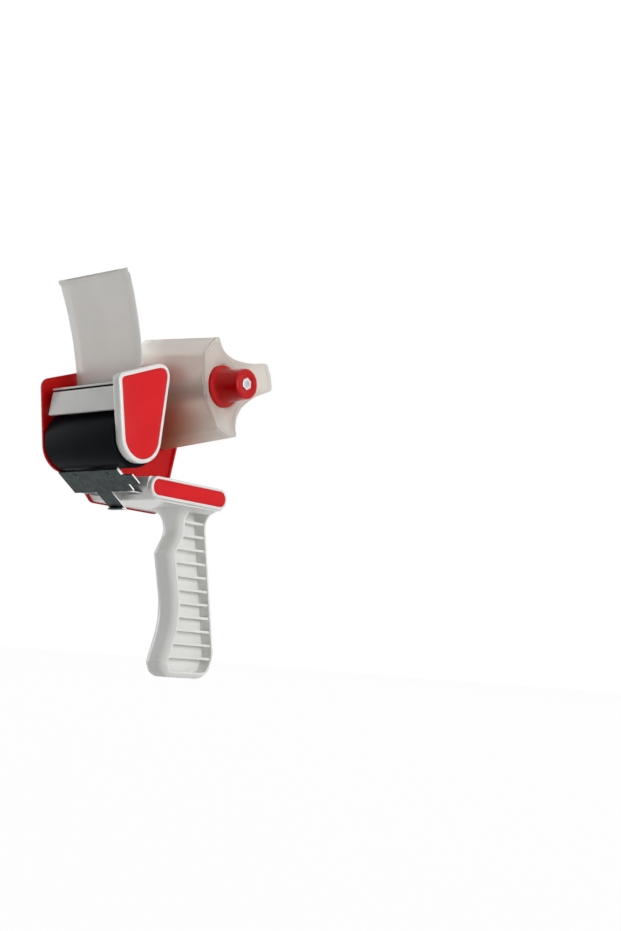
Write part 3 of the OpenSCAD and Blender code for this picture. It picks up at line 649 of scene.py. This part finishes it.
def flareOut(bm):
    # the grip spreads sideways in a quarter circle where it meets the beam
    reach, half = handle["flare"], handle["width"] / 2
    start = handle["beamBase"] - reach
    for angle in handle["flareCuts"]:
        level = at(0, 0, start + reach * math.sin(math.radians(angle)))
        cutFaces(bm, bm.faces[:], level, (0, 0, 1))
    middle = depthOf(handle["middle"])
    for v in bm.verts:
        rise = min(max(sideSpot(v.co)[1] - start, 0), reach)
        spread = reach - math.sqrt(reach ** 2 - rise ** 2)
        v.co.y = middle + (v.co.y - middle) * (1 + spread / half)
    bmesh.ops.recalc_face_normals(bm, faces=bm.faces[:])
    return bm


def beamShell():
    bm = slab(handle["beam"], *handle["beamEnds"])
    top = max((f for f in bm.faces if f.normal.z > 0.9), key=lambda f: f.calc_area())
    top.material_index = 1
    wells = handle["wells"]
    cuts = [((x, 0, 0), (1, 0, 0)) for pair in wells["x"] for x in pair]
    cuts += [((0, y, 0), (0, 1, 0)) for y in wells["y"]]
    for spot, way in cuts:
        cutFaces(bm, markedFaces(bm), at(*spot), way)
    holes = []
    for f in markedFaces(bm):
        c = f.calc_center_median()
        x, y = (c.x - home.x) / mm, (c.y - home.y) / mm
        if wells["y"][0] < y < wells["y"][1] and any(low < x < high for low, high in wells["x"]):
            holes.append(f)
    sinkFaces(bm, holes, (0, 0, -wells["deep"] * mm))
    bmesh.ops.recalc_face_normals(bm, faces=bm.faces[:])
    return bm


def cheekCorners(grow=0):
    c = handle["cheek"]
    x0, x1 = c["middle"] - c["length"] / 2 - grow, c["middle"] + c["length"] / 2 + grow
    z0, z1 = c["low"] - grow, c["high"] + grow
    radius = (z1 - z0) / 2 - c["roundSlack"]
    return [(x0, z1, radius), (x0, z0, radius), (x1, z0, radius), (x1, z1, radius)]


def cheekShell():
    c = handle["cheek"]
    bm = slab(cheekCorners(), c["y0"], c["y1"], c["rim"], c["arcSteps"])
    sunkFace(bm, sideFace(bm, 1), c["border"] - c["rim"][1], c["inlay"])
    return bm


def cheekInlay():
    c = handle["cheek"]
    return slab(cheekCorners(-c["border"] - c["inlayGap"]), c["y1"] - c["inlay"], c["y1"], c["inlayRim"],
                c["arcSteps"], c["inlaySteps"])


makePiece("handleMoulding", joined(flareOut(gripShell()), beamShell(), cheekShell()),
          "frame", "white_plastic", ["handle"])
makePiece("handleInlay", cheekInlay(), "frame", "red_plastic", ["handle_inlay"])

# front frame: free cheek, bar, deck with the flap's groove, and its tab

front = {
    "cheekY": (62.5, 68.3), "cheekRadius": 15.2, "cheekFront": (22, 32, 5), "cheekRear": (-18.2, 48.3, 8),
    "cheekRim": (0.8, 1), "arcSteps": 14, "roundSlack": 0.3, "leastRound": 0.9, "border": 2.3,
    "inlay": 1, "inlayGap": 0.1, "inlayRim": (0, 0.25), "inlaySteps": 2,
    "start": 4.5, "overlap": 0.5,
    "bar": {"face": 18, "thick": 3, "low": 12.9, "high": 26.6, "slant": 9, "slantStart": 2.2,
            "round": 0.6, "steps": 3},
    "web": {"rear": 4, "start": 1.5, "low": 8.6, "high": 11.2, "round": 0.3},
    "tab": {"x": 4.5, "z": 25.9, "length": 9.1, "high": 3.4, "tilt": 6, "out": 0.3, "round": 0.35},
    "riser": {"shelf": 9.3, "inset": 2, "round": 0.3},
    "deck": {"x": (-5.2, 16.5), "low": 28, "high": 29.3, "round": 0.4},
    "groove": {"x": -2.2, "width": 3.2, "wall": 1.4, "rise": 2.5, "sink": 0.3, "round": 0.35},
}


def frontCheekCorners(inset=0):
    radius, slack = front["cheekRadius"], front["roundSlack"]
    rear, lead = front["cheekRear"], front["cheekFront"]
    whole = [rear, noseCorner(rear, radius, 0, -1), noseCorner(lead, radius, 0, 1), lead]
    if not inset:
        return [(x, z, r - slack) for x, z, r in whole]
    moved = []
    for i, (x, z, r) in enumerate(whole):
        p = Vector((x, z))
        e = (p - Vector(whole[i - 1][:2])).normalized()
        f = (Vector(whole[(i + 1) % 4][:2]) - p).normalized()
        m, n = Vector((-e.y, e.x)), Vector((-f.y, f.x))
        q = p + inset * (m + n) / (1 + m.dot(n))
        moved.append((q.x, q.y, max(r - inset, front["leastRound"]) - slack))
    return moved


def frontCheek():
    bm = slab(frontCheekCorners(), *front["cheekY"], front["cheekRim"], front["arcSteps"])
    sunkFace(bm, sideFace(bm, 1), front["border"] - front["cheekRim"][1], front["inlay"])
    return bm


def frontInlay():
    top = front["cheekY"][1]
    return slab(frontCheekCorners(front["border"] + front["inlayGap"]), top - front["inlay"], top,
                front["inlayRim"], front["arcSteps"], front["inlaySteps"])


def frontBar(start, end):
    # the bar stops short of the plate, at a slant
    bar = front["bar"]
    lean = math.radians(bar["slant"])
    bm = block(bar["face"] - bar["thick"], bar["face"], start, end, bar["low"], bar["high"], 0)
    bmesh.ops.bisect_plane(bm, geom=bm.verts[:] + bm.edges[:] + bm.faces[:], dist=cutSlack,
                           clear_outer=True, plane_co=at(0, start + bar["slantStart"], bar["high"]),
                           plane_no=(0, -math.cos(lean), math.sin(lean)))
    bmesh.ops.holes_fill(bm, edges=bm.edges[:], sides=0)
    bmesh.ops.recalc_face_normals(bm, faces=bm.faces[:])
    roundEdges(bm, bm.edges[:], bar["round"], bar["steps"])
    return bm


def frontTab(end):
    # goes through the plate's slot
    tab = front["tab"]
    x, z, length, high = (tab[k] for k in ("x", "z", "length", "high"))
    bm = block(x - length / 2, x + length / 2, -tab["out"], end, z - high / 2, z + high / 2, tab["round"])
    bmesh.ops.rotate(bm, verts=bm.verts[:], cent=at(x, 0, z),
                     matrix=Matrix.Rotation(-math.radians(tab["tilt"]), 3, "Y"))
    return bm


def grooveWalls(start, end):
    groove, deck = front["groove"], front["deck"]
    wall = groove["wall"]
    for way in (-1, 1):
        middle = groove["x"] + way * (groove["width"] + wall) / 2
        yield block(middle - wall / 2, middle + wall / 2, start, end, deck["low"] + groove["sink"],
                    deck["high"] + groove["rise"], groove["round"])


def frontFrame():
    bar, web, tab, riser, deck = (front[k] for k in ("bar", "web", "tab", "riser", "deck"))
    start, end, overlap = front["start"], front["cheekY"][0] + front["overlap"], front["overlap"]
    shelfRear, shelfFront = (tab["x"] + way * riser["shelf"] / 2 for way in (-1, 1))
    webPart = block(shelfFront - web["rear"], bar["face"] - bar["thick"] + overlap, start + web["start"], end,
                    bar["low"] + web["low"], bar["low"] + web["high"], web["round"])
    riserPart = block(shelfRear + riser["inset"], shelfFront - riser["inset"], start, end, tab["z"],
                      deck["low"] + overlap, riser["round"])
    deckPart = block(*deck["x"], start, end, deck["low"], deck["high"], deck["round"])
    return joined(frontCheek(), frontBar(start, end), webPart, frontTab(end), riserPart, deckPart,
                  *grooveWalls(start, end))


makePiece("frontFrame", frontFrame(), "frame", "white_plastic", ["front_frame"])
makePiece("frontInlay", frontInlay(), "frame", "red_plastic", ["front_inlay"])

# flap: one sheet curled forward out of its groove

flap = {
    "root": (-2.2, 29.6), "top": (20, 94.2), "start": 0.38, "y0": 4.8, "y1": 61.9, "thick": 0.8,
    "rows": 22, "cuts": 7, "bead": 0.965, "beadStep": (0.7, 0, -0.2), "flare": 3.2, "flareLow": 41,
    "cornerBand": 1, "cornerRound": 0.5, "cornerSteps": 3, "smoothAngle": 50,
}


def flapSpot(s, y):
    # a spot on the curl, s from 0 at the root to 1 at the top
    (x0, z0), (x1, z1) = flap["root"], flap["top"]
    return at(x0 + (x1 - x0) * (flap["start"] * s + (1 - flap["start"]) * s * s), y, z0 + (z1 - z0) * s)


def flapSheet():
    bm = bmesh.new()
    edge = bm.edges.new([bm.verts.new(flapSpot(0, flap[side])) for side in ("y0", "y1")])
    bmesh.ops.subdivide_edges(bm, edges=[edge], cuts=flap["cuts"])
    row = bm.edges[:]
    climb = flap["bead"] / flap["rows"]
    steps = [flapSpot((i + 1) * climb, 0) - flapSpot(i * climb, 0) for i in range(flap["rows"])]
    steps += [Vector(flap["beadStep"]) * mm, flapSpot(1, 0) - flapSpot(flap["bead"], 0)]
    for step in steps:
        grown = bmesh.ops.extrude_edge_only(bm, edges=row)["geom"]
        bmesh.ops.translate(bm, verts=ofKind(grown, BMVert), vec=step)
        row = ofKind(grown, BMEdge)
    low, high, wide = flap["flareLow"], flap["top"][1], flap["y1"] - flap["y0"]
    for v in bm.verts:
        # the free corner stands out a little, as the photo shows
        rise = max(sideSpot(v.co)[1] - low, 0) / (high - low)
        v.co.y += flap["flare"] * mm * rise * ((v.co.y - home.y) / mm - flap["y0"]) / wide
    bmesh.ops.recalc_face_normals(bm, faces=bm.faces[:])
    bandLow = at(0, 0, high - flap["cornerBand"]).z
    corners = [v for v in bm.verts if len(v.link_edges) == 2 and v.co.z > bandLow]
    bmesh.ops.bevel(bm, geom=corners, offset=flap["cornerRound"] * mm, offset_type="OFFSET",
                    segments=flap["cornerSteps"], profile=0.5, affect="VERTICES", material=-1)
    return bm


tapeFlap = makePiece("tapeFlap", flapSheet(), "flap", "flap_plastic", ["tape_flap"], flap["smoothAngle"])
giveThickness(tapeFlap, flap["thick"], 0)

# roller

roller = {"radius": 17.5, "inner": 14.5, "y0": 3, "y1": 62.2, "edge": 0.7, "edgeSteps": 5, "steps": 96}


def rollerSleeve():
    length, edge, steps = roller["y1"] - roller["y0"], roller["edge"], roller["edgeSteps"]
    middle, inner = roller["radius"] - edge, roller["inner"]
    profile = ([(inner, 0)] + arc(middle, edge, edge, -90, 0, steps)
               + arc(middle, length - edge, edge, 0, 90, steps) + [(inner, length), (inner, 0)])
    return turned(profile, (0, 0), roller["y0"], roller["steps"])


makePiece("rollerSleeve", rollerSleeve(), "roller", "rubber", ["roller_sleeve"])

# hub: three lobes, a raised end with a round cup, open towards the plate

hub = {
    "centre": (-76.4, 46.2), "turn": 39, "lobe": 18, "tipRound": 3, "tipCrown": 18, "waistRound": 0.88,
    "arcSteps": 8, "y0": 4.5, "low": (37.7, 14.8), "free": (32.5, 13), "wall": 2.2,
    "cup": 14, "cupEdge": 54.2, "cupFloor": 51.2, "cupDraft": 0.1, "dish": 11, "fold": 0.55, "foldDrop": 0.5,
    "edge": 0.6, "edgeSteps": 3, "sleeve": 7, "sleeveGap": 0.3, "sleeveSteps": 48, "bore": 4.05,
}


def lobeCorners(tip, waist):
    corners = []
    half = math.degrees(math.asin(hub["lobe"] / 2 / tip))
    for k in range(3):
        base = hub["turn"] + 120 * k
        for angle, r, rounding in ((base - half, tip, hub["tipRound"]), (base, tip, hub["tipCrown"]),
                                   (base + half, tip, hub["tipRound"]), (base + 60, waist, 0)):
            corners.append([hub["centre"][0] + r * math.cos(math.radians(angle)),
                            hub["centre"][1] + r * math.sin(math.radians(angle)), rounding])
    for i in (3, 7, 11):
        # the waists are rounded by a share of their edges
        p, q = Vector(corners[i][:2]), Vector(corners[i - 1][:2])
        after = Vector(corners[(i + 1) % len(corners)][:2])
        corners[i][2] = hub["waistRound"] * (q - p).length * math.tan((q - p).angle(after - p) / 2)
    return corners


def lobeRing(bm, size, y):
    before = set(bm.edges)
    outlineFace(bm, lobeCorners(*size), y, hub["arcSteps"])
    bmesh.ops.delete(bm, geom=bm.faces[:], context="FACES_ONLY")
    return [e for e in bm.edges if e not in before]


def drawnIn(bm, edges, shape):
    # a ring of edges extruded, and each new corner put where shape(radius) says: (radius, y)
    grown = bmesh.ops.extrude_edge_only(bm, edges=edges)["geom"]
    axis = at(hub["centre"][0], 0, hub["centre"][1])
    for v in ofKind(grown, BMVert):
        reach = Vector((v.co.x - axis.x, 0, v.co.z - axis.z))
        radius, y = shape(reach.length / mm)
        spot = axis + reach.normalized() * radius * mm
        v.co = (spot.x, depthOf(y), spot.z)
    return ofKind(grown, BMEdge)


def dishY(radius):
    return hub["cupEdge"] + hub["dish"] * (radius - hub["cup"]) / (hub["free"][0] - hub["cup"])


def hubShell():
    cup, floor, bore = hub["cup"], hub["cupFloor"], hub["bore"]

    def foldAt(r):
        inner = cup + hub["fold"] * (r - cup)
        return inner, dishY(inner) - hub["foldDrop"]

    bm = bmesh.new()
    low = lobeRing(bm, hub["low"], hub["y0"])
    free = lobeRing(bm, hub["free"], hub["cupEdge"])
    axis = at(hub["centre"][0], 0, hub["centre"][1])
    for v in {v for e in free for v in e.verts}:
        v.co.y = depthOf(dishY(math.hypot(v.co.x - axis.x, v.co.z - axis.z) / mm))
    bmesh.ops.bridge_loops(bm, edges=low + free)
    ring = drawnIn(bm, free, foldAt)
    edge = drawnIn(bm, ring, lambda r: (cup, hub["cupEdge"]))
    ring = drawnIn(bm, edge, lambda r: (cup - hub["cupDraft"], floor))
    drawnIn(bm, ring, lambda r: (bore, floor))
    bmesh.ops.recalc_face_normals(bm, faces=bm.faces[:])
    if sum(f.normal.y * f.calc_area() for f in bm.faces) < 0:
        bmesh.ops.reverse_faces(bm, faces=bm.faces[:])
    roundEdges(bm, free + edge, hub["edge"], hub["edgeSteps"])
    bmesh.ops.solidify(bm, geom=bm.faces[:], thickness=hub["wall"] * mm)
    high, outer = floor - hub["y0"] - hub["sleeveGap"], hub["sleeve"]
    sleeve = turned([(bore, 0), (outer, 0), (outer, high), (bore, high), (bore, 0)], hub["centre"],
                    hub["y0"], hub["sleeveSteps"])
    return joined(bm, sleeve)


makePiece("tapeHub", hubShell(), "hub", "milky_plastic", ["tape_hub"])

# brake knob and its nut

knob = {
    "y0": 51.5, "length": 22.3, "steps": 80, "foot": 13.3, "footRound": 0.9, "footHigh": 1.8, "shoulder": 2,
    "shoulderTurn": 61, "fillet": 4, "neck": 10.2, "grip": 9.5, "tipRound": 1.3, "lip": 2.2, "lipRound": 0.6,
    "dish": 0.8, "dishEdge": 1.4, "dishSlope": 0.1, "seat": 4, "seatIn": 0.4, "bore": 2.05,
    "well": 6.3, "wellDeep": 9, "skirt": 9, "skirtHigh": 1.2,
    "nut": 4.04, "nutHigh": 3, "nutOut": 0.6, "nutRound": 0.35, "nutSteps": 2, "nutRim": 1.4, "nutSink": 0.5,
}


def brakeKnob():
    foot, footRound, footHigh = knob["foot"], knob["footRound"], knob["footHigh"]
    shoulder, turn, fillet = knob["shoulder"], knob["shoulderTurn"], knob["fillet"]
    length, tip, nut = knob["length"], knob["tipRound"], knob["nut"]
    well, wellDeep, skirt, skirtHigh = (knob[k] for k in ("well", "wellDeep", "skirt", "skirtHigh"))
    rise = footHigh + (shoulder + fillet) * math.sin(math.radians(turn))
    dished, seated = length - knob["dish"], length - knob["seat"]
    profile = ([(skirt, 0)] + arc(foot - footRound, footRound, footRound, -90, 0, 5)
               + arc(foot - shoulder, footHigh, shoulder, 0, turn, 7)
               + arc(knob["neck"] + fillet, rise, fillet, 180 + turn, 180, 10)
               + arc(knob["grip"] - tip, length - tip, tip, 0, 90, 7)
               + arc(nut + knob["lip"], length - knob["lipRound"], knob["lipRound"], 90, 180, 4)
               + [(nut + knob["dishEdge"], dished), (nut - knob["seatIn"], dished - knob["dishSlope"]),
                  (nut - knob["seatIn"], seated), (knob["bore"], seated), (knob["bore"], wellDeep),
                  (well, wellDeep), (well, skirtHigh), (skirt, skirtHigh), (skirt, 0)])
    return turned(profile, hub["centre"], knob["y0"], knob["steps"])


def brakeNut():
    top = knob["y0"] + knob["length"] - knob["dish"] + knob["nutOut"]
    bm = bmesh.new()
    bmesh.ops.create_circle(bm, segments=6, radius=knob["nut"] * mm, cap_ends=True,
                            matrix=Matrix.Translation(at(hub["centre"][0], top, hub["centre"][1]))
                            @ Matrix.Rotation(-math.pi / 2, 4, "X"))
    thicken(bm, bm.faces[:], -knob["nutHigh"])
    roundEdges(bm, rimEdges(bm, top), knob["nutRound"], knob["nutSteps"])
    sunkFace(bm, sideFace(bm, 1), knob["nutRim"], knob["nutSink"])
    return bm


makePiece("brakeKnob", brakeKnob(), "brake", "knob_plastic", ["brake_knob"])
makePiece("brakeNut", brakeNut(), "brake", "chrome", ["brake_nut"])

# stage, light and camera

studio = {"floor": 6.0, "floorCells": 8, "floorDrop": 0.0002, "floorGrey": 0.86, "floorRough": 0.8,
          "floorGlow": 0.97, "world": 0.25}
lamps = {
    "topBox": {"spot": (0.1, 0.2, 1.0), "aim": (0.03, 0, 0.12), "size": (0.9, 0.9), "power": 1.4},
    "sideBox": {"spot": (0.0, 1.2, 0.25), "aim": (0.03, 0, 0.12), "size": (0.4, 0.4), "power": 6.6},
    "backBox": {"spot": (-0.8, -0.3, 0.5), "aim": (0.03, 0, 0.13), "size": (0.7, 0.7), "power": 1.0},
    "stripBox": {"spot": (0.3, -0.95, 0.2), "aim": (0, 0, 0.1), "size": (0.26, 0.8), "power": 2.6},
}


def seenDirectly(shading):
    # 1 for what the camera, a reflection or a see-through piece shows of the white surroundings
    path = shading.node("ShaderNodeLightPath", {}, 0).socket.node
    camera, gloss, through = (Value(shading.tree, path.outputs[ray]) for ray in
                              ("Is Camera Ray", "Is Glossy Ray", "Is Transmission Ray"))
    return (camera + gloss + through).maths("MINIMUM", 1)


def whiteWhereSeen(tree, lit, whiteKind, share, output):
    # plain white instead of the lit shader, by that share, where it is seen directly
    shading = Shading(tree)
    white = shading.node(whiteKind, {}, 0, Color=(1, 1, 1, 1))
    mixed = shading.node("ShaderNodeMixShader", {}, 0, i0=seenDirectly(shading) * share,
                         i1=Value(tree, lit.outputs[0]), i2=white)
    tree.links.new(mixed.socket, tree.nodes[output].inputs[0])


def paleFloor():
    grey = studio["floorGrey"]
    bm = bmesh.new()
    bmesh.ops.create_grid(bm, x_segments=studio["floorCells"], y_segments=studio["floorCells"],
                          size=studio["floor"])
    mesh = bpy.data.meshes.new("floor")
    bm.to_mesh(mesh)
    bm.free()
    floor = bpy.data.objects.new("floor", mesh)
    floor.location.z = -studio["floorDrop"]
    scene.collection.objects.link(floor)
    material = bpy.data.materials.new("paleFloor")
    material.use_nodes = True
    pale = material.node_tree.nodes["Principled BSDF"]
    pale.inputs["Base Color"].default_value = (grey, grey, grey, 1)
    pale.inputs["Roughness"].default_value = studio["floorRough"]
    whiteWhereSeen(material.node_tree, pale, "ShaderNodeEmission", studio["floorGlow"], "Material Output")
    mesh.materials.append(material)


def whiteWorld():
    world = bpy.data.worlds.new("studio")
    scene.world = world
    world.use_nodes = True
    sky = world.node_tree.nodes["Background"]
    sky.inputs["Color"].default_value = (1, 1, 1, 1)
    sky.inputs["Strength"].default_value = studio["world"]
    whiteWhereSeen(world.node_tree, sky, "ShaderNodeBackground", 1, "World Output")


def softLamp(name, spot, aim, size, power):
    lamp = bpy.data.lights.new(name, "AREA")
    lamp.shape = "RECTANGLE"
    lamp.size, lamp.size_y = size
    lamp.energy = power
    holder = bpy.data.objects.new(name, lamp)
    holder.location = spot
    holder.rotation_euler = (Vector(aim) - Vector(spot)).to_track_quat("-Z", "Y").to_euler()
    scene.collection.objects.link(holder)


paleFloor()
whiteWorld()
for lampName, lampSettings in lamps.items():
    softLamp(lampName, **lampSettings)

photoCamera = {"place": (0.5888, 0.6020, 0.0122), "right": (-0.64244, 0.76266, 0.07485),
               "up": (0.16066, 0.03853, 0.98625), "back": (0.74930, 0.64564, -0.14729),
               "sensor": 24, "lens": 34.88, "near": 0.01}
lens = bpy.data.cameras.new("photoCamera")
lens.sensor_fit = "VERTICAL"
lens.sensor_height = photoCamera["sensor"]
lens.lens = photoCamera["lens"]
lens.clip_start = photoCamera["near"]
camera = bpy.data.objects.new("photoCamera", lens)
turn = Matrix((photoCamera["right"], photoCamera["up"], photoCamera["back"])).transposed()
camera.matrix_world = Matrix.Translation(photoCamera["place"]) @ turn.to_4x4()
scene.collection.objects.link(camera)
scene.camera = camera
scene.view_settings.view_transform = "Standard"
print("stage, lamps and camera set")
